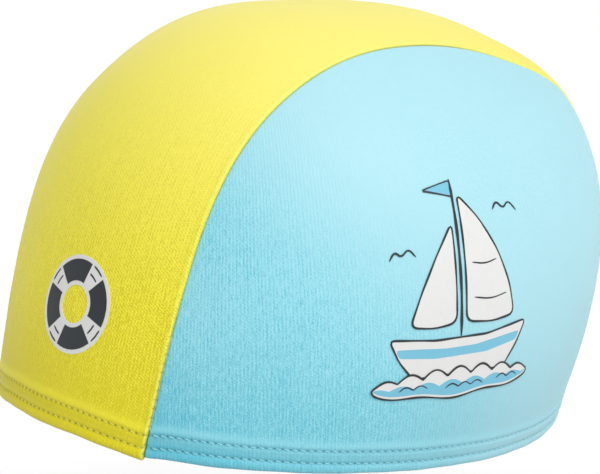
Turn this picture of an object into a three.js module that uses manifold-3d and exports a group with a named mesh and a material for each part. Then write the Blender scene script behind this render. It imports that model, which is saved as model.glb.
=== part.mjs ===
// Child's fabric swim cap in the form it has when worn: a centre strip and two mirrored side panels,
// each one knitted wall whose lower edge is turned up inside as a hem.
// Millimetres, +Z up, front towards -Y, the wearer's left at +X. The origin is inside the crown's top.
import * as THREE from 'three';
import { mergeVertices } from 'three/addons/utils/BufferGeometryUtils.js';
import Module from 'manifold-3d';

const wasm = await Module();
wasm.setup();

// Reaches of the outer face from the crown's upright axis, at the level of the brow
const frontReach = 88.7;
const sideReach = 76.9;
const backReach = 90.7;
// Rise of the outer crown over that level
const crownRise = 109.7;
// Height of the hem's edge over that level, falling from the brow to the nape
const frontEdge = 5.7;
const sideEdge = -5.0;
const backEdge = -9.6;
// On the brow the edge arches between the two seams and dips at them: heights, and reaches in degrees
const browArch = 1.5;
const browArchReach = 15;
const seamDip = 0.7;
const seamDipAt = 22.5;
const seamDipReach = 3;
// Knitted cloth and the hem turned up inside it
const cloth = 1.0;
const hemDepth = 7.0;
// Width of the centre strip across the front hem, the crown and the back hem
const stripFront = 68.3;
const stripCrown = 77.8;
const stripBack = 79.4;
// Gap between two panels at a seam
const seamGap = 0.3;

// Exponents of the rounded dome, along a meridian and around a level
const meridianRoundness = 2.43;
const levelRoundness = 2.01;

// How far each meridian swells from the plain dome: one row for each latitude, as shares of its radius
const swell = [
  { latitude: -15, front: 1.070, side: 0.889, back: 0.856 },
  { latitude: 0, front: 1.039, side: 0.970, back: 0.896 },
  { latitude: 15, front: 0.985, side: 1.029, back: 1.002 },
  { latitude: 30, front: 0.957, side: 1.061, back: 1.115 },
  { latitude: 45, front: 0.965, side: 1.053, back: 1.136 },
  { latitude: 60, front: 0.990, side: 1.007, back: 1.051 },
  { latitude: 75, front: 1.008, side: 1.000, back: 1.009 },
  { latitude: 90, front: 1.000, side: 1.000, back: 1.000 },
];

// Latitudes between which a height on a meridian is sought
const lowestLatitude = -45;
const highestLatitude = 60;

// Step from the hem's raw edge back to the single cloth, as a share of the cloth
const rawEdgeStep = 0.4;
// The cut that parts the panels reaches from inside the head hollow to well outside the cap
const cutFrom = 0.3 * sideReach;
const cutTo = 2 * Math.max(frontReach, backReach, crownRise);
const cutStart = -45;
const cutEnd = 225;

// Facets around the cap, up its wall, through the hem's fold and along the cut
const turns = 72;
const wallRows = 15;
const foldRows = 3;
const cutRows = 60;

const strip = { color: 0xf0e45a, roughness: 0.75, metalness: 0 };
const side = { color: 0xa0e4f0, roughness: 0.75, metalness: 0 };

// A smooth curve through the swell column of one meridian, level where it crosses the crown
function swellAt(column, latitude) {
  const step = swell[1].latitude - swell[0].latitude;
  const last = swell.length - 1;
  const place = THREE.MathUtils.clamp((latitude - swell[0].latitude) / step, 0, last);
  const row = Math.min(Math.floor(place), last - 1);
  const value = (i) => {
    if (i < 0) return 2 * swell[0][column] - swell[1][column];
    return swell[i > last ? 2 * last - i : i][column];
  };
  const [before, here, next, after] = [-1, 0, 1, 2].map((k) => value(row + k));
  const t = place - row;
  return here + 0.5 * t * (next - before
    + t * (2 * before - 5 * here + 4 * next - after
    + t * (3 * (here - next) + after - before)));
}

// Distance from the axis point at brow level to the outer face along one meridian
function meridianRadius(column, reach, latitude) {
  const angle = THREE.MathUtils.degToRad(latitude);
  const level = Math.abs(Math.cos(angle) / reach) ** meridianRoundness;
  const rise = Math.abs(Math.sin(angle) / crownRise) ** meridianRoundness;
  return swellAt(column, latitude) * (level + rise) ** (-1 / meridianRoundness);
}

// The same distance in any direction: azimuth 0 is the front, 90 the wearer's left, 180 the back
function outerRadius(azimuth, latitude) {
  const turn = THREE.MathUtils.degToRad(azimuth);
  const ahead = Math.cos(turn);
  const aside = Math.sin(turn);
  const long = ahead > 0
    ? meridianRadius('front', frontReach, latitude)
    : meridianRadius('back', backReach, latitude);
  const wide = meridianRadius('side', sideReach, latitude);
  const sum = Math.abs(ahead / long) ** levelRoundness + Math.abs(aside / wide) ** levelRoundness;
  return sum ** (-1 / levelRoundness);
}

function outerPoint(azimuth, latitude) {
  const radius = outerRadius(azimuth, latitude);
  const turn = THREE.MathUtils.degToRad(azimuth);
  const angle = THREE.MathUtils.degToRad(latitude);
  return new THREE.Vector3(
    radius * Math.cos(angle) * Math.sin(turn),
    -radius * Math.cos(angle) * Math.cos(turn),
    radius * Math.sin(angle),
  );
}

// Outward normal of the outer face, from two short chords
function outerNormal(azimuth, latitude) {
  const step = 0.5;
  const along = outerPoint(azimuth + step, latitude).sub(outerPoint(azimuth - step, latitude));
  const lower = outerPoint(azimuth, Math.min(latitude, 90 - step) - step);
  const up = outerPoint(azimuth, Math.min(latitude, 90 - step) + step).sub(lower);
  return along.cross(up).normalize();
}

function edgeHeight(azimuth) {
  const turn = THREE.MathUtils.degToRad(azimuth);
  const middle = (frontEdge + backEdge + 2 * sideEdge) / 4;
  const tilt = (frontEdge - backEdge) / 2;
  const bow = (frontEdge + backEdge - 2 * sideEdge) / 4;
  const aside = Math.abs(THREE.MathUtils.euclideanModulo(azimuth + 180, 360) - 180);
  const arch = browArch * Math.exp(-((aside / browArchReach) ** 4));
  const dip = seamDip * Math.exp(-(((aside - seamDipAt) / seamDipReach) ** 2));
  return middle + tilt * Math.cos(turn) + bow * Math.cos(2 * turn) + arch - dip;
}

// Latitude at which a meridian reaches a height
function latitudeAt(azimuth, height) {
  let low = lowestLatitude;
  let high = highestLatitude;
  for (let i = 0; i < 40; i += 1) {
    const middle = (low + high) / 2;
    if (outerPoint(azimuth, middle).z < height) low = middle;
    else high = middle;
  }
  return (low + high) / 2;
}

// One section of the wall at an azimuth, from the crown down the outer face, round the hem's fold
// and up the inner face: the hem is two cloths thick
function wallSection(azimuth) {
  const foldRadius = cloth;
  const edge = edgeHeight(azimuth) + foldRadius;
  const edgeLatitude = latitudeAt(azimuth, edge);
  const hemLatitude = latitudeAt(azimuth, edgeHeight(azimuth) + hemDepth);
  const inner = (latitude, thickness) => outerPoint(azimuth, latitude)
    .addScaledVector(outerNormal(azimuth, latitude), -thickness);
  const latitudes = [];
  for (let i = 1; i < wallRows; i += 1) {
    latitudes.push(90 + (hemLatitude - 90) * (i / wallRows));
  }
  const points = latitudes.map((latitude) => outerPoint(azimuth, latitude));
  points.push(outerPoint(azimuth, hemLatitude), outerPoint(azimuth, edgeLatitude));
  const foldCentre = inner(edgeLatitude, foldRadius);
  const out = outerNormal(azimuth, edgeLatitude);
  const down = new THREE.Vector3(0, 0, -1).addScaledVector(out, out.z).normalize();
  for (let i = 1; i <= foldRows; i += 1) {
    const turn = (Math.PI * i) / (foldRows + 1);
    points.push(foldCentre.clone()
      .addScaledVector(out, foldRadius * Math.cos(turn))
      .addScaledVector(down, foldRadius * Math.sin(turn)));
  }
  points.push(inner(edgeLatitude, 2 * foldRadius), inner(hemLatitude, 2 * cloth));
  const stepLatitude = latitudeAt(azimuth, edgeHeight(azimuth) + hemDepth + rawEdgeStep * cloth);
  points.push(inner(stepLatitude, cloth));
  for (const latitude of latitudes.slice().reverse()) {
    points.push(inner(latitude, cloth));
  }
  return points;
}

// A closed skin over sections that start at the top pole and end at the bottom one. The facets of its
// two halves are mirrored, and those of the inner face lie under those of the outer face.
function closedRings(rings, top, bottom) {
  const around = rings.length;
  const rows = rings[0].length;
  const positions = [];
  for (const ring of rings) {
    for (const point of ring) positions.push(point.x, point.y, point.z);
  }
  positions.push(top.x, top.y, top.z, bottom.x, bottom.y, bottom.z);
  const topIndex = around * rows;
  const index = [];
  for (let i = 0; i < around; i += 1) {
    const here = i * rows;
    const next = ((i + 1) % around) * rows;
    index.push(topIndex, here, next);
    for (let j = 0; j < rows - 1; j += 1) {
      const [a, b, c, d] = [here + j, here + j + 1, next + j + 1, next + j];
      if ((i < around / 2) === (j < rows / 2)) index.push(a, b, c, a, c, d);
      else index.push(a, b, d, b, c, d);
    }
    index.push(here + rows - 1, topIndex + 1, next + rows - 1);
  }
  return solid(positions, index);
}

function solid(positions, index) {
  const geometry = new THREE.BufferGeometry();
  geometry.setAttribute('position', new THREE.Float32BufferAttribute(positions, 3));
  geometry.setIndex(index);
  const merged = mergeVertices(geometry, 1e-4);
  return new wasm.Manifold(new wasm.Mesh({
    numProp: 3,
    vertProperties: new Float32Array(merged.attributes.position.array),
    triVerts: new Uint32Array(merged.index.array),
  }));
}

// The whole cap's wall before it is cut into panels
function wholeWall() {
  const sections = [];
  for (let i = 0; i < turns; i += 1) sections.push(wallSection((360 * i) / turns));
  const crown = new THREE.Vector3(0, 0, crownRise);
  return closedRings(sections, crown, new THREE.Vector3(0, 0, crownRise - cloth));
}

// Half the strip's width at an angle over the head, 0 at the front and 180 at the back
function seamOffset(angle) {
  const share = (angle - 90) / 90;
  const hem = share < 0 ? stripFront : stripBack;
  return (stripCrown + (hem - stripCrown) * share * share) / 2;
}

// A band over the head that holds the centre strip, its sides on the seams moved out by a distance
function seamBand(moved) {
  const positions = [];
  for (let i = 0; i <= cutRows; i += 1) {
    const angle = cutStart + ((cutEnd - cutStart) * i) / cutRows;
    const turn = THREE.MathUtils.degToRad(angle);
    const offset = seamOffset(angle) + moved;
    for (const [sign, reach] of [[-1, cutFrom], [1, cutFrom], [1, cutTo], [-1, cutTo]]) {
      positions.push(sign * offset, -reach * Math.cos(turn), reach * Math.sin(turn));
    }
  }
  const index = [0, 1, 2, 0, 2, 3];
  for (let i = 0; i < cutRows; i += 1) {
    for (let j = 0; j < 4; j += 1) {
      const a = 4 * i + j;
      const b = 4 * i + ((j + 1) % 4);
      index.push(a, a + 4, b + 4, a, b + 4, b);
    }
  }
  const end = 4 * cutRows;
  index.push(end, end + 2, end + 1, end, end + 3, end + 2);
  return solid(positions, index);
}

// A mesh with the crown's inside moved to the origin
function panel(name, shape, finish) {
  const mesh = shape.getMesh();
  const geometry = new THREE.BufferGeometry();
  geometry.setAttribute('position', new THREE.BufferAttribute(new Float32Array(mesh.vertProperties), 3));
  geometry.setIndex(new THREE.BufferAttribute(new Uint32Array(mesh.triVerts), 1));
  geometry.computeVertexNormals();
  const result = new THREE.Mesh(geometry, new THREE.MeshStandardMaterial(finish));
  result.name = name;
  result.position.z = cloth - crownRise;
  return result;
}

function sidePanels(wall) {
  const sides = wall.subtract(seamBand(seamGap / 2)).decompose();
  const middle = (shape) => (shape.boundingBox().min[0] + shape.boundingBox().max[0]) / 2;
  return sides.sort((a, b) => middle(b) - middle(a));
}

const wall = wholeWall();
const [left, right] = sidePanels(wall);
const cap = new THREE.Group();
cap.add(
  panel('centre_panel', wall.intersect(seamBand(-seamGap / 2)), strip),
  panel('left_side_panel', left, side),
  panel('right_side_panel', right, side),
);

export default cap;
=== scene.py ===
# A child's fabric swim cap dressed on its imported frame: knitted panels with a turned-up hem, twin rows
# of stitches, sewn seams and two printed films.
# Metres, +Z up, front towards -Y, the wearer's left at +X. Azimuth 0 is the front and 90 the left.
import math

import bmesh
import bpy
import numpy as np
from mathutils import Matrix, Vector


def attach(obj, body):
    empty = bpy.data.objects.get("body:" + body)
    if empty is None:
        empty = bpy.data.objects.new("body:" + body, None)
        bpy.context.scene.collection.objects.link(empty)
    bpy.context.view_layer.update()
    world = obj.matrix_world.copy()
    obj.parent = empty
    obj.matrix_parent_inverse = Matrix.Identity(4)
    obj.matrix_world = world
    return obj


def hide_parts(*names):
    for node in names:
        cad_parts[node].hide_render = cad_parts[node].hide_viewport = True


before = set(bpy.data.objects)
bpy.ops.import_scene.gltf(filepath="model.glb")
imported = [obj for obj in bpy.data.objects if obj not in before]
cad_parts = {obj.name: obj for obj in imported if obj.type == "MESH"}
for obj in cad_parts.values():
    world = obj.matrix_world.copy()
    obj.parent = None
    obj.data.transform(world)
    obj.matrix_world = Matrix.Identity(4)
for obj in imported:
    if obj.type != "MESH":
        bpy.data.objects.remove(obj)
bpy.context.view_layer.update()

MM = 0.001

# Outer face: reaches from the crown's upright axis at brow level, and the crown's rise over it
FRONT_REACH = 88.7 * MM
SIDE_REACH = 76.9 * MM
BACK_REACH = 90.7 * MM
CROWN_RISE = 109.7 * MM
# Height of the hem's edge over brow level
FRONT_EDGE = 5.7 * MM
SIDE_EDGE = -5.0 * MM
BACK_EDGE = -9.6 * MM
# On the brow the edge arches between the two seams and dips at them: heights, and reaches in degrees
BROW_ARCH = 1.5 * MM
BROW_ARCH_REACH = 15
SEAM_DIP = 0.7 * MM
SEAM_DIP_AT = 22.5
SEAM_DIP_REACH = 3
# The wall in the CAD, the knit itself, and the hem turned up inside
WALL = 1.0 * MM
KNIT = 0.75 * MM
HEM_DEPTH = 7.0 * MM
FOLD = 1.0 * MM
# Width of the centre strip at the front hem, the crown and the back hem, and the gap between sewn edges
STRIP_FRONT = 68.3 * MM
STRIP_CROWN = 77.8 * MM
STRIP_BACK = 79.4 * MM
SEAM_GAP = 0.04 * MM
# The crown's inside is at the origin, so brow level lies below it
BROW_LEVEL = WALL - CROWN_RISE

# Roundness of the dome along a meridian and around a level
MERIDIAN_ROUNDNESS = 2.43
LEVEL_ROUNDNESS = 2.01
# How far each meridian swells from the plain dome at these latitudes, as shares of its radius
LATITUDES = (-15, 0, 15, 30, 45, 60, 75, 90)
SWELL = {
    "front": (1.070, 1.039, 0.985, 0.957, 0.965, 0.990, 1.008, 1.000),
    "side": (0.889, 0.970, 1.029, 1.061, 1.053, 1.007, 1.000, 1.000),
    "back": (0.856, 0.896, 1.002, 1.115, 1.136, 1.051, 1.009, 1.000),
}

# Twin-needle rows: heights over the hem's edge, stitch pitch, and the thread
LOWER_ROW = 2.85 * MM
UPPER_ROW = 6.05 * MM
STITCH_PITCH = 2.05 * MM
THREAD = 0.30 * MM
# The hem's rows of mesh reach up to here
BAND = 12.0 * MM
# The hem's outer cloth: its rise and where that ends, the depth of the rows, and the lip over the fold
HEM_RISE = 0.30 * MM
HEM_RISE_END = 7.2 * MM
HEM_RISE_FADE = 0.8 * MM
ROW_DEPTH = 0.34 * MM
ROW_WIDTH = 0.5 * MM
LIP_RISE = 0.10 * MM
LIP_HEIGHT = 1.3 * MM
LIP_WIDTH = 0.8 * MM
# Its waves, as height, run for a radian and start, and where they end
HEM_WAVES = ((0.05 * MM, 4.1 * MM, 0.7), (0.03 * MM, 1.73 * MM, 2.0))
WAVE_END = 9 * MM
WAVE_FADE = 1.2 * MM

# A panel's edge rolls into the seam, and its allowance lies inside against the panel
ROLL = 0.75 * MM
SEAM_DEPTH = 0.78 * MM
# The height that the hem map holds for a seam allowance, far over the cap's own
UNDER_SEAM = 0.9
ALLOWANCE = 5.5 * MM
# Beside a seam the strip stands proud and the sides lie low: bumps as height, distance and width, and
# their sum at the seam itself
STRIP_BUMPS = ((0.20 * MM, 0.9 * MM, 0.8 * MM), (0.05 * MM, 0, 5 * MM))
SIDE_BUMPS = ((-0.41 * MM, 0, 9 * MM), (-0.07 * MM, 0.6 * MM, 1.5 * MM))
STRIP_AT_SEAM = 0.106 * MM
SIDE_AT_SEAM = -0.47 * MM
# Puckers along a seam: their height, the run for a radian, and their distance and width
PUCKER = 0.05 * MM
PUCKER_RUN = 1.9 * MM
PUCKER_PLACE = (1.5 * MM, 0.8 * MM)
# Between these runs from the hem the relief falls to a small share of itself
SEAM_FADE = ((60 * MM, 115 * MM), (1, 0.15))
# Distances from a seam at which the mesh is close, and its spacing elsewhere
NEAR_SEAM = tuple(d * MM for d in (0, 0.03, 0.12, 0.27, 0.45, 0.67, 0.9, 1.15, 1.5, 2.0, 2.7, 3.6))
SPACING = 1.25 * MM
# The mean radius of the arcs over the head
ARC_RADIUS = 0.93 * CROWN_RISE
# A side panel's mesh: its length from the seam in to the middle of its hem, and its spokes
SIDE_LENGTH = 84 * MM
SPOKES = 220

# The side panels' wales lie in planes through an upright axis beyond the cap's middle
WALE_AXIS = 35 * MM
WALE_RADIUS = 105 * MM

# Between these latitudes, and these angles over the head, the hem is sought
WALL_LATITUDES = (-45.0, 60.0)
HEM_ANGLES = (-25.0, 55.0)

UPRIGHT = np.array([0.0, 0.0, 1.0])
DOME_CENTRE = np.array([0.0, 0.0, BROW_LEVEL])


def unit(vectors):
    return vectors / np.linalg.norm(vectors, axis=-1, keepdims=True)


def bump(value, middle, width):
    return np.exp(-(((value - middle) / width) ** 2))


def run_along(line):
    """Length along a line up to each of its points."""
    steps = np.linalg.norm(np.diff(line, axis=0), axis=1)
    return np.concatenate([[0], np.cumsum(steps)])


def highest_under(is_under, low, high, rounds):
    """The highest values between two bounds that is_under still holds for."""
    for _ in range(rounds):
        middle = (low + high) / 2
        under = is_under(middle)
        low = np.where(under, middle, low)
        high = np.where(under, high, middle)
    return low


def numbered(rows, columns):
    """The numbers of a grid's points, row by row."""
    return np.arange(rows * columns).reshape(rows, columns)


def quads_of(index):
    """Corners of the quads between a grid's numbered points."""
    corners = [index[:-1, :-1], index[:-1, 1:], index[1:, 1:], index[1:, :-1]]
    return np.stack(corners, -1).reshape(-1, 4)


def direction(turn, rise):
    """Unit vector towards an azimuth and an elevation in radians."""
    return Vector((math.sin(turn) * math.cos(rise), -math.cos(turn) * math.cos(rise), math.sin(rise)))


# The dome

def swell_at(column, latitude):
    step = LATITUDES[1] - LATITUDES[0]
    column = SWELL[column]
    last = len(column) - 1
    values = np.array([2 * column[0] - column[1], *column, column[last - 1]])
    place = np.clip((latitude - LATITUDES[0]) / step, 0, last)
    row = np.minimum(np.floor(place), last - 1).astype(int)
    before, here, after, beyond = (values[row + k] for k in range(4))
    t = place - row
    bend = 2 * before - 5 * here + 4 * after - beyond
    twist = 3 * (here - after) + beyond - before
    return here + 0.5 * t * (after - before + t * (bend + t * twist))


def meridian_radius(column, reach, latitude):
    angle = np.radians(latitude)
    level = np.abs(np.cos(angle) / reach) ** MERIDIAN_ROUNDNESS
    rise = np.abs(np.sin(angle) / CROWN_RISE) ** MERIDIAN_ROUNDNESS
    return swell_at(column, latitude) * (level + rise) ** (-1 / MERIDIAN_ROUNDNESS)


def dome(azimuth, latitude):
    """Points of the outer face at angles in degrees."""
    turn = np.radians(azimuth)
    angle = np.radians(latitude)
    ahead = np.cos(turn)
    aside = np.sin(turn)
    front = meridian_radius("front", FRONT_REACH, latitude)
    back = meridian_radius("back", BACK_REACH, latitude)
    side = meridian_radius("side", SIDE_REACH, latitude)
    along = np.abs(ahead / np.where(ahead > 0, front, back)) ** LEVEL_ROUNDNESS
    across = np.abs(aside / side) ** LEVEL_ROUNDNESS
    radius = (along + across) ** (-1 / LEVEL_ROUNDNESS)
    level = radius * np.cos(angle)
    return np.stack([level * aside, -level * ahead, radius * np.sin(angle) + BROW_LEVEL], -1)


def dome_normal(azimuth, latitude):
    step = 0.5
    latitude = np.minimum(latitude, 90 - 2 * step)
    along = dome(azimuth + step, latitude) - dome(azimuth - step, latitude)
    up = dome(azimuth, latitude + step) - dome(azimuth, latitude - step)
    return unit(np.cross(along, up))


def angles_to(points):
    """Azimuth and latitude of points, seen from the dome's centre."""
    x, y, z = np.moveaxis(points - DOME_CENTRE, -1, 0)
    return np.degrees(np.arctan2(x, -y)), np.degrees(np.arctan2(z, np.hypot(x, y)))


def edge_height(azimuth):
    turn = np.radians(azimuth)
    middle = (FRONT_EDGE + BACK_EDGE + 2 * SIDE_EDGE) / 4
    tilt = (FRONT_EDGE - BACK_EDGE) / 2
    bow = (FRONT_EDGE + BACK_EDGE - 2 * SIDE_EDGE) / 4
    plain = BROW_LEVEL + middle + tilt * np.cos(turn) + bow * np.cos(2 * turn)
    aside = np.abs((azimuth + 180) % 360 - 180)
    arch = BROW_ARCH * np.exp(-((aside / BROW_ARCH_REACH) ** 4))
    return plain + arch - SEAM_DIP * bump(aside, SEAM_DIP_AT, SEAM_DIP_REACH)


def wall(azimuth, height):
    """Point, outward normal and upward direction of the wall at a height over the hem's edge."""
    wanted = edge_height(azimuth) + height
    low, high = (np.full(np.shape(azimuth), bound) for bound in WALL_LATITUDES)
    latitude = highest_under(lambda tried: dome(azimuth, tried)[..., 2] < wanted, low, high, 36)
    point = dome(azimuth, latitude)
    normal = dome_normal(azimuth, latitude)
    up = unit(UPRIGHT - normal * normal[..., 2:])
    return point, normal, up


# The seams

def seam_offset(angle):
    """Half the strip's width at an angle over the head, 0 at the front and 180 at the back."""
    share = (angle - 90) / 90
    hem = np.where(share < 0, STRIP_FRONT, STRIP_BACK)
    return (STRIP_CROWN + (hem - STRIP_CROWN) * share**2) / 2


def over_head(offset, angle):
    """Point and normal of the outer face at a sideways offset on the arc at an angle over the head."""
    turn = np.radians(angle)
    lean = np.zeros(np.broadcast(offset, angle).shape)
    for _ in range(9):
        aim = np.stack([
            np.sin(lean),
            -np.cos(lean) * np.cos(turn),
            np.cos(lean) * np.sin(turn),
        ], -1)
        azimuth, latitude = angles_to(aim + DOME_CENTRE)
        point = dome(azimuth, latitude)
        lean = np.arcsin(np.clip(offset / np.linalg.norm(point - DOME_CENTRE, axis=-1), -1, 1))
    return point, dome_normal(azimuth, latitude)


def hem_angle(share, margin, height, back):
    """Angle over the head where the line at a share of the strip's half width is that far over the edge."""
    def is_under(tried):
        angle = 180 - tried if back else tried
        point, _ = over_head(share * (seam_offset(angle) + margin), angle)
        azimuth, _ = angles_to(point)
        return point[..., 2] < edge_height(azimuth) + height

    low, high = (np.full(np.broadcast(share, height).shape, bound) for bound in HEM_ANGLES)
    angle = highest_under(is_under, low, high, 26)
    return 180 - angle if back else angle


def hem_azimuth(share, margin, height, back):
    angle = hem_angle(share, margin, height, back)
    point, _ = over_head(share * (seam_offset(angle) + margin), angle)
    azimuth, _ = angles_to(point)
    return np.where(azimuth < 0, azimuth + 360, azimuth) if back else azimuth


def seam_line():
    """Points on the left seam from the front hem's edge to the back one, and the run along them."""
    one = np.array([1.0])
    first = hem_angle(one, 0, 0.3 * FOLD, False)[0]
    last = hem_angle(one, 0, 0.3 * FOLD, True)[0]
    angle = np.linspace(first, last, 420)
    line, _ = over_head(seam_offset(angle), angle)
    return line, run_along(line)


SEAM, SEAM_RUN = seam_line()


def beside_seam(points):
    """Distance of each point from its nearer seam, and the run along the seam there."""
    flat = points.reshape(-1, 3).copy()
    flat[:, 0] = np.abs(flat[:, 0])
    start = SEAM[:-1]
    step = SEAM[1:] - start
    length = np.linalg.norm(step, axis=1)
    distance = np.empty(len(flat))
    run = np.empty(len(flat))
    for first in range(0, len(flat), 2000):
        some = flat[first:first + 2000]
        share = np.einsum("pij,ij->pi", some[:, None] - start, step) / length**2
        share = np.clip(share, 0, 1)
        gap = np.linalg.norm(some[:, None] - start - share[..., None] * step, axis=-1)
        best = np.argmin(gap, axis=1)
        rows = np.arange(len(some))
        distance[first:first + 2000] = gap[rows, best]
        run[first:first + 2000] = SEAM_RUN[best] + share[rows, best] * length[best]
    return distance.reshape(points.shape[:-1]), run.reshape(points.shape[:-1])


# The hem

def hem_run_table():
    azimuth = np.linspace(0, 180, 361)
    line, _, _ = wall(azimuth, LOWER_ROW)
    return azimuth, run_along(line)


HEM_AZIMUTH, HEM_RUN = hem_run_table()


def hem_run(azimuth):
    """Run along the hem from the middle of the front, up to a whole turn."""
    half = HEM_RUN[-1]
    ahead = np.interp(np.abs(azimuth), HEM_AZIMUTH, HEM_RUN)
    beyond = 2 * half - np.interp(360 - np.abs(azimuth), HEM_AZIMUTH, HEM_RUN)
    return np.sign(azimuth) * np.where(np.abs(azimuth) > 180, beyond, ahead)


def hem_rows():
    """Height, inset, rise, outwardness and side of each row from the band's top to the raw edge inside."""
    rows = [(height, 0, 0, 1, 1) for height in np.linspace(BAND, FOLD, 30)]
    for turn in np.linspace(0, math.pi, 10)[1:-1]:
        down = math.sin(turn)
        out = math.cos(turn)
        rows.append((FOLD * (1 - down), FOLD * (out - 1), -down, out, 1 if out > 0 else -1))
    rows += [(height, -2 * FOLD, 0, -1, -1) for height in np.linspace(FOLD, HEM_DEPTH, 13)]
    return rows


def hem_grid(azimuth_at):
    """A panel's hem, from the band's top down the outer face, round the fold and up inside. azimuth_at
    gives the azimuths of the columns for a column of heights."""
    height, inset, rise, out, side = np.array(hem_rows()).T[:, :, None]
    level = np.maximum(height, FOLD)
    point, normal, up = wall(azimuth_at(level), level)
    return {
        "base": point,
        "place": point + normal * inset[..., None] + up * (height - level)[..., None],
        "facing": normal * out[..., None] + up * rise[..., None],
        "height": side * height + 0 * point[..., 0],
    }


def hem_relief(height, run):
    """How far the outer cloth stands out by its hem: two cloths thick, drawn in along both rows."""
    level = np.abs(height)
    doubled = HEM_RISE / (1 + np.exp((level - HEM_RISE_END) / HEM_RISE_FADE))
    lip = LIP_RISE * bump(height, LIP_HEIGHT, LIP_WIDTH)
    rows = bump(level, LOWER_ROW, ROW_WIDTH) + bump(level, UPPER_ROW, ROW_WIDTH)
    fade = 1 / (1 + np.exp((level - WAVE_END) / WAVE_FADE))
    wave = sum(rise * np.sin(run / length + start) for rise, length, start in HEM_WAVES)
    return np.where(height > 0, doubled + lip, 0) - ROW_DEPTH * rows + wave * fade * np.sign(height)


def seam_relief(distance, run, strip):
    """How far the cloth stands out beside a seam: the strip proud of the sides, both edges rolled in
    to the same depth."""
    inward = np.clip(1 - distance / ROLL, 0, 1)
    bumps = STRIP_BUMPS if strip else SIDE_BUMPS
    at_seam = STRIP_AT_SEAM if strip else SIDE_AT_SEAM
    rest = sum(height * bump(distance, middle, width) for height, middle, width in bumps)
    share = np.interp(np.minimum(run, SEAM_RUN[-1] - run), *SEAM_FADE)
    roll = (SEAM_DEPTH + share * at_seam) * (np.sqrt(1 - inward**2) - 1)
    pucker = PUCKER * np.sin(run / PUCKER_RUN) * bump(distance, *PUCKER_PLACE)
    return roll + share * (rest + pucker)


def allowance_steps():
    """Distance from the seam and inset of the cloth that turns under beyond a panel's edge."""
    turns = np.linspace(0, math.pi / 2, 5)[1:]
    steps = [(ROLL * (1 - math.cos(turn)), -ROLL * math.sin(turn)) for turn in turns]
    return steps + [(share * ALLOWANCE, -ROLL) for share in (0.35, 0.6, 0.8, 1.0)]


# Panels

def maps_of(grid, strip):
    """Flat places of a grid's points, in metres: along the knit, along the hem and along the seam."""
    base = grid["base"]
    azimuth, latitude = angles_to(base)
    x, y, z = np.moveaxis(base, -1, 0)
    over = np.degrees(np.arctan2(z - BROW_LEVEL, -y))
    over = np.where(over < -90, over + 360, over)
    if strip:
        knit = np.stack([x, np.radians(over) * CROWN_RISE], -1)
        round_back = (over > 90) & (azimuth < 0)
        azimuth = np.where(round_back, azimuth + 360, azimuth)
    else:
        wale = WALE_RADIUS * np.arctan2(y, x + WALE_AXIS)
        knit = np.stack([wale, np.radians(latitude) * CROWN_RISE], -1)
    hem = np.stack([hem_run(azimuth), grid["height"]], -1)
    distance, run = beside_seam(base)
    return {"knit": knit, "hem": hem, "seam": np.stack([run, distance], -1)}


def height_of(base):
    azimuth, _ = angles_to(base)
    return base[..., 2] - edge_height(azimuth)


def near_and_even(length):
    """Distances from a seam: close beside it and even up to a length."""
    count = max(2, round((length - NEAR_SEAM[-1]) / SPACING))
    return np.concatenate([NEAR_SEAM, np.linspace(NEAR_SEAM[-1], length, count + 1)[1:]])


def strip_grids():
    half = (STRIP_CROWN - SEAM_GAP) / 2
    inward = near_and_even(half)
    shares = np.concatenate([-(1 - inward / half), (1 - inward[-2::-1] / half)])
    margin = -SEAM_GAP / 2
    grids = [hem_grid(lambda height: hem_azimuth(shares, margin, height, back)) for back in (False, True)]
    first = hem_angle(shares, margin, BAND, False)
    last = hem_angle(shares, margin, BAND, True)
    rows = round(math.radians(last.mean() - first.mean()) * ARC_RADIUS / SPACING)
    t = np.linspace(0, 1, rows + 1)[:, None]
    angle = first + (last - first) * t
    offset = shares * (seam_offset(angle) + margin)
    base, normal = over_head(offset, angle)
    grids.append({"base": base, "place": base, "facing": normal, "height": height_of(base)})
    for side in (-1, 1):
        edge = 0 if side < 0 else -1
        line = angle[:, edge]
        reach = seam_offset(line) + margin
        grids.append(turned_under(lambda inset: over_head(side * (reach - inset), line), True))
    return grids


def turned_under(at_inset, strip):
    """The allowance beyond a panel's edge: at_inset gives points and normals at a distance from it."""
    base, place, facing = [], [], []
    edge, normal = at_inset(0.0)
    distance, run = beside_seam(edge)
    first = seam_relief(distance, run, strip)
    base.append(edge)
    place.append(edge + normal * first[:, None])
    facing.append(normal)
    for inset, drop in allowance_steps():
        point, normal = at_inset(inset)
        base.append(point)
        place.append(point + normal * (first + drop)[:, None])
        facing.append(-normal)
    base = np.array(base)
    return {
        "base": base,
        "place": np.array(place),
        "facing": np.array(facing),
        "height": np.full(base.shape[:-1], UNDER_SEAM),
        "done": True,
    }


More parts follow.
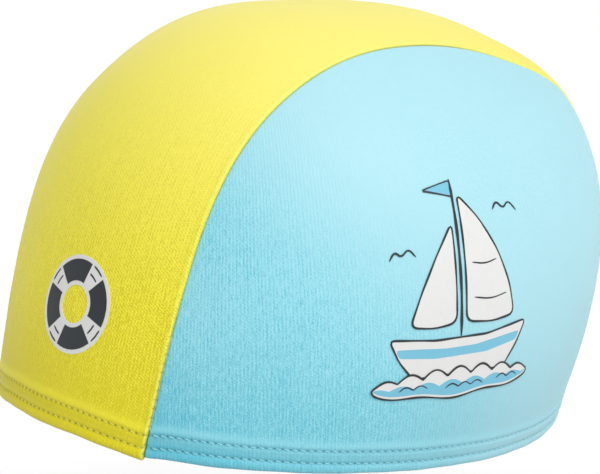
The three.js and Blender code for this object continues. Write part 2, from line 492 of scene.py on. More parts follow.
def side_grids():
    margin = SEAM_GAP / 2
    one = np.array([1.0])
    rings = 1 - near_and_even(SIDE_LENGTH)[::-1] / SIDE_LENGTH
    shares = 0.5 + 0.5 * np.concatenate([-rings[::-1], rings[1:]])

    def azimuths(height):
        front = hem_azimuth(one, margin, height, False)
        back = hem_azimuth(one, margin, height, True)
        return front + (back - front) * shares

    band = hem_grid(azimuths)
    line = band["base"][0] - DOME_CENTRE
    middle = line[len(rings) - 1]
    to_front = line[len(rings) - 1::-1]
    to_back = line[len(rings) - 1:]
    first = hem_angle(one, margin, BAND, False)[0]
    last = hem_angle(one, margin, BAND, True)[0]
    angle = np.linspace(first, last, SPOKES + 1)
    seam, _ = over_head(seam_offset(angle) + margin, angle)
    seam = seam - DOME_CENTRE
    t = rings[:, None, None]
    turn = np.linspace(0, math.pi, SPOKES + 1)
    near_front = (np.clip(np.cos(turn), 0, 1) ** 2)[None, :, None]
    near_back = (np.clip(-np.cos(turn), 0, 1) ** 2)[None, :, None]
    bend_front = (to_front - (1 - rings[:, None]) * middle - rings[:, None] * to_front[-1])[:, None]
    bend_back = (to_back - (1 - rings[:, None]) * middle - rings[:, None] * to_back[-1])[:, None]
    aim = (1 - t) * middle + t * seam[None] + bend_front * near_front + bend_back * near_back
    azimuth, latitude = angles_to(aim + DOME_CENTRE)
    base = dome(azimuth, latitude)
    normal = dome_normal(azimuth, latitude)
    fan = {"base": base, "place": base, "facing": normal, "height": height_of(base)}
    under = turned_under(lambda inset: over_head(seam_offset(angle) + margin + inset, angle), False)
    return [band, fan, under]


def finished(grid, strip):
    """A grid with its relief: drawn in at the stitch rows, rolled in at the seams."""
    maps = maps_of(grid, strip)
    if grid.get("done"):
        return grid["place"], maps
    run, distance = np.moveaxis(maps["seam"], -1, 0)
    hem_relief_here = hem_relief(grid["height"], maps["hem"][..., 0])
    edge = np.clip(distance - SEAM_GAP / 2, 0, None)
    relief = hem_relief_here + seam_relief(edge, run, strip)
    return grid["place"] + grid["facing"] * relief[..., None], maps


def faces_outward(grid):
    """Whether a grid's quads, taken row by row, face the way its cloth does."""
    base = grid["place"]
    across = base[:-1, 1:] - base[:-1, :-1]
    along = base[1:, :-1] - base[:-1, :-1]
    return (np.cross(across, along) * grid["facing"][:-1, :-1]).sum() > 0


def knitted_panel(name, grids, strip, mirrored, finishes):
    """A panel as one sheet of knit with its own thickness."""
    points, quads, maps = [], [], {"knit": [], "hem": [], "seam": []}
    start = 0
    for grid in grids:
        place, flat = finished(grid, strip)
        rows, columns = place.shape[:2]
        corners = start + quads_of(numbered(rows, columns))
        quads.append(corners[:, ::-1] if faces_outward(grid) == mirrored else corners)
        points.append(place.reshape(-1, 3))
        for key in maps:
            maps[key].append(flat[key].reshape(-1, 2))
        start += rows * columns
    points = np.concatenate(points)
    if mirrored:
        points = points * np.array([-1.0, 1.0, 1.0])
    quads = np.concatenate(quads)
    mesh = smooth_mesh(name, points, quads.tolist())
    for key, values in maps.items():
        add_map(mesh, key, np.concatenate(values), quads)
    piece = linked(mesh, *finishes)
    shape = bmesh.new()
    shape.from_mesh(mesh)
    bmesh.ops.remove_doubles(shape, verts=shape.verts, dist=0.01 * MM)
    shape.to_mesh(mesh)
    shape.free()
    thicken(piece, KNIT, 1)
    return piece


def linked(mesh, *materials):
    """An object of the mesh's own name, in the scene."""
    for material in materials:
        mesh.materials.append(material)
    piece = bpy.data.objects.new(mesh.name, mesh)
    bpy.context.scene.collection.objects.link(piece)
    return piece


def smooth_mesh(name, points, faces):
    mesh = bpy.data.meshes.new(name)
    mesh.from_pydata(points.tolist(), [], faces)
    mesh.polygons.foreach_set("use_smooth", [True] * len(mesh.polygons))
    return mesh


def add_map(mesh, name, flat, corners):
    """A map that gives the corners of the faces the flat places of their points."""
    layer = mesh.uv_layers.new(name=name)
    layer.data.foreach_set("uv", flat[corners].astype(np.float32).reshape(-1))


def thicken(piece, thickness, material_inside):
    """Thickens an open layer inwards and leaves it selected."""
    solidify = piece.modifiers.new("thickness", "SOLIDIFY")
    solidify.thickness = thickness
    solidify.offset = -1
    solidify.material_offset = material_inside
    bpy.ops.object.select_all(action="DESELECT")
    piece.select_set(True)
    bpy.context.view_layer.objects.active = piece
    bpy.ops.object.modifier_apply(modifier=solidify.name)


# Camera

CAMERA_AZIMUTH = math.radians(48.706)
CAMERA_ELEVATION = math.radians(13.074)
CAMERA_ROLL = math.radians(0.519)
CAMERA_DISTANCE = 454.586 * MM
CAMERA_TARGET = Vector((0, -0.55 * MM, -66.69 * MM))
FOCAL_PIXELS = 1571.38
PICTURE_WIDTH = 600


def place_camera():
    turn, rise, roll = CAMERA_AZIMUTH, CAMERA_ELEVATION, CAMERA_ROLL
    back = direction(turn, rise)
    right = Vector((math.cos(turn), math.sin(turn), 0))
    up = back.cross(right)
    across = right * math.cos(roll) + up * math.sin(roll)
    upward = up * math.cos(roll) - right * math.sin(roll)
    camera = bpy.data.objects.new("camera", bpy.data.cameras.new("camera"))
    bpy.context.scene.collection.objects.link(camera)
    turned = Matrix((across, upward, back)).transposed().to_4x4()
    camera.matrix_world = Matrix.Translation(CAMERA_TARGET + back * CAMERA_DISTANCE) @ turned
    camera.data.sensor_fit = "HORIZONTAL"
    camera.data.sensor_width = 36
    camera.data.lens = camera.data.sensor_width * FOCAL_PIXELS / PICTURE_WIDTH
    camera.data.clip_start = 10 * MM
    camera.data.clip_end = 20
    bpy.context.scene.camera = camera


place_camera()


# Shader tools

class Value:
    """A number on a surface, on which Python's operators add Math nodes."""

    def __init__(self, finish, socket):
        self.finish = finish
        self.socket = socket

    def __add__(self, other):
        return self.finish.math("ADD", self, other)

    def __sub__(self, other):
        return self.finish.math("SUBTRACT", self, other)

    def __rsub__(self, other):
        return self.finish.math("SUBTRACT", other, self)

    def __mul__(self, other):
        return self.finish.math("MULTIPLY", self, other)

    def __truediv__(self, other):
        return self.finish.math("DIVIDE", self, other)

    def __neg__(self):
        return self.finish.math("MULTIPLY", self, -1)

    def __abs__(self):
        return self.finish.math("ABSOLUTE", self)

    __radd__ = __add__
    __rmul__ = __mul__


class Finish:
    """A material on one Principled shader, with the nodes that vary it."""

    def __init__(self, name):
        self.material = bpy.data.materials.new(name)
        self.material.use_nodes = True
        self.tree = self.material.node_tree
        self.shader = self.tree.nodes["Principled BSDF"]

    def feed(self, socket, value):
        if isinstance(value, Value):
            self.tree.links.new(value.socket, socket)
        else:
            socket.default_value = value

    def node(self, kind, settings=(), inputs=()):
        node = self.tree.nodes.new(kind)
        for key, value in dict(settings).items():
            setattr(node, key, value)
        for key, value in dict(inputs).items():
            self.feed(node.inputs[key], value)
        return node

    def math(self, operation, first, second=0.0):
        node = self.node("ShaderNodeMath", {"operation": operation}, {0: first, 1: second})
        return Value(self, node.outputs[0])

    def set(self, **sockets):
        for key, value in sockets.items():
            self.feed(self.shader.inputs[key.replace("_", " ")], value)

    def place(self, name):
        """The two flat coordinates of one of the piece's maps."""
        node = self.node("ShaderNodeUVMap", {"uv_map": name})
        parts = self.node("ShaderNodeSeparateXYZ", {}, {0: Value(self, node.outputs[0])})
        return Value(self, parts.outputs[0]), Value(self, parts.outputs[1])

    def noise(self, across, along, seed, detail=2.0):
        point = self.node("ShaderNodeCombineXYZ", {}, {0: across, 1: along, 2: seed})
        inputs = {"Vector": Value(self, point.outputs[0]), "Scale": 1.0, "Detail": detail}
        return Value(self, self.node("ShaderNodeTexNoise", {}, inputs).outputs[0])

    def object_place(self):
        return Value(self, self.node("ShaderNodeTexCoord").outputs["Object"])

    def cloud(self, scale, detail):
        """Noise in the object's own space."""
        inputs = {"Vector": self.object_place(), "Scale": scale, "Detail": detail}
        return Value(self, self.node("ShaderNodeTexNoise", {}, inputs).outputs[0])

    def hump(self, value, middle, width):
        """1 where value is at the middle, falling off over the width."""
        offset = (value - middle) / width
        return self.math("EXPONENT", -(offset * offset))

    def above(self, value, level, width):
        """0 under a level, 1 over it, with a soft step of that width."""
        node = self.node("ShaderNodeMapRange", {"interpolation_type": "SMOOTHSTEP"}, {
            "Value": value, "From Min": level - width / 2, "From Max": level + width / 2,
        })
        return Value(self, node.outputs[0])

    def between(self, value, low, high, width):
        """1 between two levels, 0 beyond them, with a soft step at each."""
        return self.above(value, low, width) * self.above(-value, -high, width)

    def blend(self, share, low, high):
        """A colour between two."""
        node = self.node("ShaderNodeMix", {"data_type": "RGBA"})
        self.feed(node.inputs[0], share)
        for socket, colour in ((node.inputs[6], low), (node.inputs[7], high)):
            self.feed(socket, colour if isinstance(colour, Value) else (*colour, 1.0))
        return Value(self, node.outputs[2])

    def raise_by(self, height, depth):
        """Relief of a depth in metres where height goes from 0 to 1."""
        inputs = {"Height": height, "Strength": 1.0, "Distance": depth}
        node = self.node("ShaderNodeBump", {}, inputs)
        self.set(Normal=Value(self, node.outputs[0]))


def srgb(red, green, blue):
    """A shader colour from one read as screen values from 0 to 255."""
    shares = (channel / 255 for channel in (red, green, blue))
    return tuple(c / 12.92 if c <= 0.04045 else ((c + 0.055) / 1.055) ** 2.4 for c in shares)


# Knit

WALE_PITCH = 0.88 * MM
COURSE_PITCH = 0.50 * MM
# Pitches along the seam: the stitches that pinch it, and the overlocking inside
PINCH_PITCH = 2.3 * MM
WHIP_PITCH = 1.5 * MM


def knit_loops(finish, tones, seed, grain, stretch_and_light, height):
    """Colour and relief of the knit in its streaks of wales, with its painted light and shade, and the
    share of it that is stretched and painted with a highlight.
    """
    across, along = finish.place("knit")
    drift = finish.noise(across / (9 * MM), along / (30 * MM), seed) - 0.5
    wale = across / WALE_PITCH + drift * 0.8
    rib = abs(finish.math("FRACT", wale) - 0.5) * 2
    loop = finish.math("SINE", (along / COURSE_PITCH + rib * 0.6) * (2 * math.pi))
    streak = finish.noise(across / (0.25 * MM), along / (2.6 * MM), seed + 3.1)
    long_streak = finish.noise(across / (0.7 * MM), along / (14 * MM), seed + 7.7)
    speck = finish.noise(across / (0.36 * MM), along / (0.40 * MM), seed + 11.3, 1.0)
    cloud = finish.noise(across / (24 * MM), along / (32 * MM), seed + 19.1)
    twill = finish.math("SINE", (across / (1.3 * MM) + along / (1.1 * MM) + drift) * (2 * math.pi))
    patch = finish.noise(across / (7 * MM), along / (12 * MM), seed + 23.0)
    ribbed = finish.above(patch, 0.5, 0.3) * 0.6 + 0.4
    worn = finish.noise(across / (3.1 * MM), along / (3.7 * MM), seed + 29.0, 4.0)
    finish.set(Roughness=worn * 0.14 + 0.48)

    # the stretch function also gives the painted light and shade that is added to the tone below
    drawn, smooth, painted_light_and_shade = stretch_and_light(finish, across, along)
    stretched_and_lit = finish.above(drawn, 0.5, 1.0)
    doubled = 1 - finish.above(abs(height), UPPER_ROW + 1.6 * MM, 2.4 * MM)
    tight = (1 - 0.92 * stretched_and_lit) * (1 - smooth) * (1 - 0.45 * doubled) * tones["contrast"]
    tone = tight * (
        (streak - 0.5) * (1.5 - grain) + (long_streak - 0.5) * 0.30
        + (speck - 0.5) * (0.9 + 0.5 * grain) + (rib - 0.5) * ribbed * 0.34 + twill * (0.22 * grain)
    ) + (cloud - 0.5) * 0.25 + painted_light_and_shade + 0.5
    colour = finish.blend(finish.above(tone, 0.5, 1.5), tones["deep"], tones["pale"])
    # partly painted highlight: the pale stretched tone is laid where the knit is drawn out, over the crown
    # and towards the back of the sides, which is also where the light falls
    colour = finish.blend(stretched_and_lit * 0.6, colour, tones["stretched_and_lit"])
    return colour, rib * 0.30 + loop * 0.09 + streak * 0.55 + speck * 0.25, stretched_and_lit


def hem_marks(finish, tones, colour, relief, stretched_and_lit, run, height):
    """The colour and relief with the hem's needle holes, its grooves and its fold, with painted shade in
    the holes, the grooves, the channel under the upper row and at the fold's edge, and a painted highlight
    above the upper row.
    """
    inside = abs(height)
    beat = finish.math("FRACT", run / STITCH_PITCH + 0.5) - 0.5
    hole_run = finish.hump(abs(beat), 0.5, 0.18)
    # painted shade: the needle holes are painted dark
    lower_hole = finish.hump(inside, LOWER_ROW, 0.26 * MM) * hole_run
    upper_hole = finish.hump(inside, UPPER_ROW, 0.26 * MM) * hole_run
    hole = lower_hole + upper_hole
    # painted shade along the rows' grooves, in the channel under the upper row and at the fold's edge,
    # faded where the knit is stretched and lit
    groove = finish.hump(inside, LOWER_ROW, 0.55 * MM) + finish.hump(inside, UPPER_ROW, 0.55 * MM)
    channel = finish.hump(inside, UPPER_ROW - 1.0 * MM, 1.0 * MM)
    fold_edge_shade = finish.hump(height, 0.1 * MM, 0.45 * MM)
    # painted highlight: the bulge above the upper row is painted paler
    over = finish.hump(height, UPPER_ROW + 1.7 * MM, 1.2 * MM)
    painted_hem_shade = (groove * 0.15 + channel * 0.26 + fold_edge_shade * 0.36) * (1 - 0.8 * stretched_and_lit)
    colour = finish.blend(over * 0.45, colour, tones["pale"])
    colour = finish.blend(painted_hem_shade, colour, tones["shade"])
    colour = finish.blend(hole * (0.9 - 0.78 * stretched_and_lit), colour, tones["hole"])
    return colour, relief - hole * 1.2 - groove * 0.3


def seam_marks(finish, tones, colour, relief, height):
    """The colour and relief with the seams' pinches, painted shade in their crease and pits, a painted
    highlight on the yellow's rolled edge and painted shade on the blue's, and the overlocking under them.
    """
    run, seam = finish.place("seam")
    pinch = finish.math("FRACT", run / PINCH_PITCH) - 0.5
    low = 1 - finish.between(run, 32 * MM, SEAM_RUN[-1] - 32 * MM, 30 * MM)
    crown = finish.between(run, 140 * MM, SEAM_RUN[-1] - 140 * MM, 50 * MM)
    # painted shade: the pinch pits and the crease of the seam are painted dark, most near the hem
    pit = finish.hump(abs(pinch), 0.0, 0.13) * finish.hump(seam, 0.28 * MM, 0.22 * MM) * low
    crease_shade = finish.hump(seam, 0.0, 0.22 * MM) * (low * 0.55 + crown * 0.85 + 0.06)
    # the rolled edge beside the seam: a painted highlight on the yellow and painted shade on the blue
    roll = finish.hump(seam, 0.36 * MM, 0.36 * MM) * (low * 0.55 + 0.28 - crown * 0.18)
    colour = finish.blend(roll * tones["roll share"], colour, tones["roll"])
    colour = finish.blend(crease_shade + pit * 0.4, colour, tones["crease_shade"])

    under = finish.above(height, UNDER_SEAM / 2, UNDER_SEAM / 2)
    whip = finish.math("SINE", (run / WHIP_PITCH + seam / (5.0 * MM)) * (2 * math.pi)) * 0.5 + 0.5
    whip = finish.above(whip, 0.62, 0.5) * under
    colour = finish.blend(whip * 0.8, colour, tones["thread"])
    return colour, relief - pit + whip * 1.6


def knit_finish(name, tones, seed, grain, stretch_and_light):
    """Fine knit with the marks of its hem and its seams."""
    finish = Finish(name)
    run, height = finish.place("hem")
    colour, relief, stretched_and_lit = knit_loops(finish, tones, seed, grain, stretch_and_light, height)
    colour, relief = hem_marks(finish, tones, colour, relief, stretched_and_lit, run, height)
    colour, relief = seam_marks(finish, tones, colour, relief, height)
    finish.set(
        Base_Color=colour,
        Sheen_Weight=tones["sheen"],
        Sheen_Roughness=0.35,
        Specular_IOR_Level=0.40,
    )
    finish.raise_by(relief, 0.10 * MM)
    return finish.material


# Knit tones: shade, hole and crease are painted shade; roll is a painted highlight on the yellow and
# painted shade on the blue; stretched is partly the paler stretched knit and partly a painted highlight
# where the light falls
YELLOW_TONES = {
    "deep": srgb(222, 208, 4),
    "pale": srgb(255, 245, 66),
    "stretched_and_lit": srgb(243, 232, 140),
    "shade": srgb(186, 180, 36),
    "hole": srgb(140, 136, 30),
    "crease_shade": srgb(104, 136, 46),
    "roll": srgb(248, 250, 128),
    "roll share": 0.60,
    "sheen": 0.07,
    "contrast": 2.6,
    "thread": srgb(252, 246, 190),
}
BLUE_TONES = {
    "deep": srgb(88, 192, 214),
    "pale": srgb(160, 228, 241),
    "stretched_and_lit": srgb(189, 228, 236),
    "shade": srgb(128, 182, 190),
    "hole": srgb(50, 140, 162),
    "crease_shade": srgb(70, 150, 150),
    "roll": srgb(120, 208, 214),
    "roll share": 0.35,
    "sheen": 0.12,
    "contrast": 1.42,
    "thread": srgb(224, 244, 248),
}


def strip_stretch_and_light(finish, across, along):
    """How far the strip is drawn out, which also places its painted highlight over the crown; how much
    smoother it is by the brow and on the wearer's right; and its painted light and shade, paler over the
    crown and darker by the brow."""
    over = CROWN_RISE * math.pi / 2
    low = over - abs(along - over)
    drawn = (low - 45 * MM) / (110 * MM)
    right = finish.above(-across, 2 * MM, 44 * MM)
    brow = finish.above(-along, -30 * MM, 50 * MM)
    # painted light and shade: the strip's tone is painted paler up towards the crown and darker by the brow
    painted_light_and_shade = finish.above(low, 70 * MM, 80 * MM) * 0.38 - brow * 0.42
    return drawn, right * 0.55 + brow * 0.50, painted_light_and_shade


def side_stretch_and_light(finish, across, along):
    """The same for a side panel, which is drawn out towards the crown and behind the ear, where it also
    carries the painted highlight; its painted light and shade is paler towards the crown and darker at its
    low front corner.
    """
    drawn = (across + 48 * MM) / (68 * MM) + finish.above(along, 78 * MM, 100 * MM)
    nape = finish.above(across, 96 * MM, 40 * MM)
    # painted light and shade: the side's tone is painted darker at its low front corner and paler towards
    # the crown
    corner = finish.above(-across - along, 60 * MM, 60 * MM)
    painted_light_and_shade = finish.above(along, 32 * MM, 56 * MM) * 0.36 - corner * 0.42 - 0.08
    return drawn - nape * 1.2, 0.0, painted_light_and_shade


YELLOW = knit_finish("yellow knit", YELLOW_TONES, 2.0, 0.6, strip_stretch_and_light)
BLUE = knit_finish("blue knit", BLUE_TONES, 41.0, 0.25, side_stretch_and_light)


def wrong_side(tones):
    """The same knit on its inside, paler and greyer."""
    inside = dict(tones)
    for key in ("deep", "pale", "stretched_and_lit"):
        inside[key] = tuple(0.72 * c + 0.20 for c in tones[key])
    return inside


YELLOW_INSIDE = knit_finish("yellow knit inside", wrong_side(YELLOW_TONES), 61.0, 0.9, strip_stretch_and_light)
BLUE_INSIDE = knit_finish("blue knit inside", wrong_side(BLUE_TONES), 83.0, 0.9, side_stretch_and_light)


def thread_finish(name, colour):
    finish = Finish(name)
    fuzz = finish.cloud(1400.0, 2.0)
    dark = tuple(0.72 * c for c in colour)
    finish.set(Base_Color=finish.blend(fuzz, dark, colour), Roughness=fuzz * 0.2 + 0.5, Sheen_Weight=0.1)
    finish.raise_by(fuzz, 0.04 * MM)
    return finish.material


YELLOW_THREAD = thread_finish("yellow thread", srgb(246, 238, 96))
BLUE_THREAD = thread_finish("blue thread", srgb(164, 235, 249))


def make_panels():
    centre = knitted_panel("centre_knit", strip_grids(), True, False, (YELLOW, YELLOW_INSIDE))
    side_shape = side_grids()
    left = knitted_panel("left_side_knit", side_shape, False, False, (BLUE, BLUE_INSIDE))
    right = knitted_panel("right_side_knit", side_shape, False, True, (BLUE, BLUE_INSIDE))
    for piece, node, slot in (
        (centre, "centre_panel", "yellow_knit"),
        (left, "left_side_panel", "blue_knit"),
        (right, "right_side_panel", "blue_knit"),
    ):
        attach(piece, "root")
        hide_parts(node)


# Stitches

STITCH_LENGTH = 1.42 * MM
STITCH_SLANT = math.radians(-18)


def one_stitch():
    """A short thread that bows out of the cloth between its two needle holes, along X with +Z outwards."""
    bpy.ops.object.select_all(action="DESELECT")
    bpy.ops.mesh.primitive_cylinder_add(
        vertices=6, radius=THREAD / 2, depth=STITCH_LENGTH, rotation=(0, math.pi / 2, 0)
    )
    stitch = bpy.context.object
    bpy.ops.object.transform_apply(location=False, rotation=True, scale=False)
    bpy.ops.object.mode_set(mode="EDIT")
    for share in (-0.34, -0.15, 0.15, 0.34):
        bpy.ops.mesh.select_all(action="SELECT")
        bpy.ops.mesh.bisect(plane_co=(share * STITCH_LENGTH, 0, 0), plane_no=(1, 0, 0))
    bpy.ops.object.mode_set(mode="OBJECT")
    points = np.empty(len(stitch.data.vertices) * 3)
    stitch.data.vertices.foreach_get("co", points)
    points = points.reshape(-1, 3)
    share = np.abs(points[:, 0]) * 2 / STITCH_LENGTH
    slim = 1 - 0.25 * share**2
    points[:, 1:] *= slim[:, None]
    points[:, 2] += THREAD * (0.55 - 1.2 * share**3)
    faces = [list(face.vertices) for face in stitch.data.polygons]
    bpy.data.objects.remove(stitch)
    return points, faces


def stitch_places(low, high):
    """Runs of the stitches of a row between two azimuths."""
    first = math.ceil((hem_run(np.array(low)) + 0.5 * STITCH_LENGTH) / STITCH_PITCH)
    last = math.floor((hem_run(np.array(high)) - 0.5 * STITCH_LENGTH) / STITCH_PITCH)
    return np.arange(first, last + 1) * STITCH_PITCH


def azimuth_at_run(run):
    azimuth = np.linspace(-180, 360, 2161)
    return np.interp(run, hem_run(azimuth), azimuth)


def looper(low, high):
    """Rings of the thread that zigzags inside from row to row, under the needles' holes."""
    first = math.ceil(hem_run(np.array(low)) / STITCH_PITCH)
    last = math.floor(hem_run(np.array(high)) / STITCH_PITCH)
    share = np.linspace(0, 1, 5)[:-1]
    starts = np.arange(2 * first, 2 * last) / 2 + 0.25
    beats = (starts[:, None] + share / 2).reshape(-1)
    swing = np.abs((beats * 2) % 2 - 1)
    run = beats * STITCH_PITCH
    height = LOWER_ROW + (UPPER_ROW - LOWER_ROW + 0.5 * MM) * swing
    point, out, _ = wall(azimuth_at_run(run), height)
    depth = 2 * FOLD + hem_relief(-height, run) + 0.3 * THREAD * (1 - np.abs(2 * swing - 1))
    line = point - out * (depth + 0.2 * THREAD)[:, None]
    ahead = unit(np.gradient(line, axis=0))
    aside = np.cross(ahead, out)
    turns = np.arange(5) * (2 * math.pi / 5)
    ring = np.cos(turns)[:, None, None] * aside + np.sin(turns)[:, None, None] * np.cross(aside, ahead)
    return line + 0.42 * THREAD * ring


def stitched_hem(name, stretches, material):
    """Both rows of stitches over stretches of the hem, each from one azimuth to another."""
    shape, faces = one_stitch()
    points, all_faces = [], []
    for row in (LOWER_ROW, UPPER_ROW):
        for low, high in stretches:
            runs = stitch_places(low, high)
            azimuth = azimuth_at_run(runs)
            centre, out, up = wall(azimuth, np.full(len(runs), row))
            along = np.cross(up, out)
            relief = hem_relief(np.full(len(runs), row), runs)
            centre = centre + out * relief[:, None]
            slanted = along * math.cos(STITCH_SLANT) + up * math.sin(STITCH_SLANT)
            upward = np.cross(out, slanted)
            for c, a, u, o in zip(centre, slanted, upward, out):
                start = sum(map(len, points))
                points.append(c + shape @ np.array([a, u, o]))
                all_faces += [[start + i for i in face] for face in faces]
    for low, high in stretches:
        rings = looper(low, high)
        index = sum(map(len, points)) + numbered(*rings.shape[:2])
        points.append(rings.reshape(-1, 3))
        all_faces += quads_of(np.concatenate([index, index[:1]])).tolist()
        all_faces += [index[:, 0].tolist(), index[::-1, -1].tolist()]
    piece = linked(smooth_mesh(name, np.concatenate(points), all_faces), material)
    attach(piece, "root")
    return piece


def seam_azimuths():
    """Azimuths at which the left seam crosses the hem's rows, at the front and the back."""
    one = np.array([1.0])
    middle = (LOWER_ROW + UPPER_ROW) / 2
    return hem_azimuth(one, 0, middle, False)[0], hem_azimuth(one, 0, middle, True)[0]


def make_stitches():
    front, back = seam_azimuths()
    yellow = stitched_hem("yellow_stitches", ((-front, front), (back, 360 - back)), YELLOW_THREAD)
    left = stitched_hem("left_blue_stitches", ((front, back),), BLUE_THREAD)
    right = stitched_hem("right_blue_stitches", ((-back, -front),), BLUE_THREAD)
    return yellow, left, right


# Printed films

FILM = 0.12 * MM
INK = 0.05 * MM
# Both reach a little into what they lie on
FILM_THICKNESS = FILM + 0.05 * MM
INK_THICKNESS = INK + 0.03 * MM


def print_frame(azimuth, latitude, lean):
    """A place on the dome with its rightward and upward directions, seen from outside."""
    at = np.array(float(azimuth)), np.array(float(latitude))
    out = dome_normal(*at)
    up = unit(UPRIGHT - out * out[2])
    right = np.cross(up, out)
    turn = math.radians(lean)
    leaning_right = right * math.cos(turn) + up * math.sin(turn)
    leaning_up = up * math.cos(turn) - right * math.sin(turn)
    return dome(*at), leaning_right, leaning_up


def laid_on(frame_here, flat, height):
    """Flat points, in metres, laid on the dome at a height over its face."""
    centre, right, up = frame_here
    aim = centre + flat[..., :1] * right + flat[..., 1:] * up
    azimuth, latitude = angles_to(aim)
    return dome(azimuth, latitude) + dome_normal(azimuth, latitude) * height


def rounded(corners, cut):
    """A closed outline, in metres from millimetres, with each corner rounded from a cut's length on."""
    line = np.array(corners, float)
    t = np.linspace(0, 1, 7)[:, None]
    outline = []
    for before, corner, after in zip(np.roll(line, 1, axis=0), line, np.roll(line, -1, axis=0)):
        start = corner + (before - corner) * min(cut / math.dist(before, corner), 0.48)
        end = corner + (after - corner) * min(cut / math.dist(after, corner), 0.48)
        outline.append((1 - t) ** 2 * start + 2 * t * (1 - t) * corner + t**2 * end)
    return np.concatenate(outline) * MM


def evenly(line, spacing, closed):
    """Points at an even spacing along a line."""
    if closed:
        line = np.concatenate([line, line[:1]])
    run = run_along(line)
    count = max(8, int(round(run[-1] / spacing)))
    wanted = np.linspace(0, run[-1], count + 1)
    if closed:
        wanted = wanted[:-1]
    return np.stack([np.interp(wanted, run, line[:, i]) for i in (0, 1)], -1)


def filled(outline):
    """Rings from an outline in to its middle, as flat points."""
    outline = evenly(outline, 0.7 * MM, True)
    middle = outline.mean(axis=0)
    reach = np.linalg.norm(outline - middle, axis=1).max()
    rings = max(3, int(reach / (1.8 * MM)))
    shares = np.linspace(1, 0, rings + 1)[:-1]
    return middle + shares[:, None, None] * (outline - middle), middle


def film_patch(frame_here, outline, height):
    """Points and faces of a film with that outline."""
    rings, middle = filled(outline)
    flat = np.concatenate([rings.reshape(-1, 2), middle[None]])
    index = numbered(*rings.shape[:2])
    index = np.concatenate([index, index[:, :1]], axis=1)
    faces = quads_of(index).tolist()
    faces += [[*pair, len(flat) - 1] for pair in zip(index[-1, :-1].tolist(), index[-1, 1:].tolist())]
    return laid_on(frame_here, flat, height), faces, flat


def ink_line(frame_here, line, width, closed, height):
    """Points and faces of a drawn line, a little thicker and thinner along its way."""
    line = evenly(np.asarray(line, float), 0.6 * MM, closed)
    if closed:
        ahead = np.roll(line, -1, axis=0) - np.roll(line, 1, axis=0)
    else:
        ahead = np.gradient(line, axis=0)
    ahead = unit(ahead)
    aside = np.stack([-ahead[:, 1], ahead[:, 0]], -1)
    count = len(line)
    half = width / 2 * (1 + 0.18 * np.sin(np.arange(count) * 0.31))
    if not closed:
        share = np.linspace(0, 1, count)
        half = half * np.clip(np.minimum(share, 1 - share) * 8 + 0.35, 0, 1)
    flat = np.stack([line - aside * half[:, None], line + aside * half[:, None]], 1).reshape(-1, 2)
    index = numbered(count, 2)
    if closed:
        index = np.concatenate([index, index[:1]])
    return laid_on(frame_here, flat, height), quads_of(index).tolist(), flat


def print_piece(name, patches, thickness, material):
    """One printed layer of several patches."""
    points, faces, flats = [], [], []
    start = 0
    for patch_points, patch_faces, flat in patches:
        points.append(patch_points)
        flats.append(flat)
        faces += [[start + i for i in face] for face in patch_faces]
        start += len(patch_points)
    mesh = smooth_mesh(name, np.concatenate(points), faces)
    add_map(mesh, "print", np.concatenate(flats), np.concatenate(faces))
    piece = linked(mesh, material)
    turn_outwards(mesh)
    thicken(piece, thickness, 0)
    bpy.ops.object.shade_smooth_by_angle(angle=math.radians(40))
    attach(piece, "root")
    return piece


def turn_outwards(mesh):
    """Turns the faces of an open layer away from the dome's centre."""
    shape = bmesh.new()
    shape.from_mesh(mesh)
    centre = Vector(DOME_CENTRE)
    turned = [f for f in shape.faces if f.normal.dot(f.calc_center_median() - centre) < 0]
    bmesh.ops.reverse_faces(shape, faces=turned)
    shape.to_mesh(mesh)
    shape.free()


def ink_finish(name, colour, roughness, seed):
    """A printed film or ink through which the knit shows a little."""
    finish = Finish(name)
    across, along = finish.place("print")
    streak = finish.noise(across / (0.40 * MM), along / (3.0 * MM), seed)
    speck = finish.noise(across / (0.30 * MM), along / (0.30 * MM), seed + 5.0, 1.0)
    patch = finish.noise(across / (8 * MM), along / (8 * MM), seed + 9.0)
    tone = streak * 0.5 + speck * 0.25 + patch * 0.25
    dark = tuple(0.86 * c for c in colour)
    finish.set(Base_Color=finish.blend(tone, dark, colour), Roughness=tone * 0.15 + roughness)
    finish.raise_by(streak * 0.7 + speck * 0.5, 0.05 * MM)
    return finish.material


WHITE_FILM = ink_finish("white film", srgb(236, 236, 234), 0.42, 3.0)
BLUE_FILM = ink_finish("mid blue film", srgb(124, 200, 226), 0.42, 13.0)
DARK_INK = ink_finish("charcoal ink", srgb(38, 46, 50), 0.40, 23.0)


# A little sailing boat on the left side: outlines in millimetres, right and up from its middle
BOAT_PLACE = (79.5, 29.8, -2.0)
MAIN_SAIL = ((1.0, -8.2), (9.5, -8.8), (17.6, -7.4), (15.8, 0.6), (12.0, 9.5), (6.8, 18.2), (1.0, 25.6))
FORE_SAIL = ((-2.0, -8.2), (-8.5, -9.0), (-15.6, -8.0), (-12.0, 0.4), (-7.6, 8.6), (-2.0, 17.4))
HULL = (
    (-21.4, -10.4), (-8.0, -12.0), (8.0, -11.8), (22.8, -9.0), (19.6, -15.0), (15.0, -21.0),
    (-14.5, -21.0), (-18.6, -16.2),
)
HULL_BAND = (
    (-19.6, -13.0), (-8.0, -14.3), (8.0, -14.1), (20.4, -11.8), (19.2, -14.2), (8.0, -16.3),
    (-8.0, -16.5), (-18.6, -15.3),
)
PENNANT = ((-0.4, 24.8), (-0.4, 30.0), (-9.4, 27.6))
MAST = ((-0.5, -11.6), (-0.6, 10.0), (-0.4, 30.4))
BATTENS = (((3.4, -2.4), (9.0, -3.2), (14.6, -1.8)), ((3.2, 6.4), (7.4, 5.8), (11.4, 7.0)))
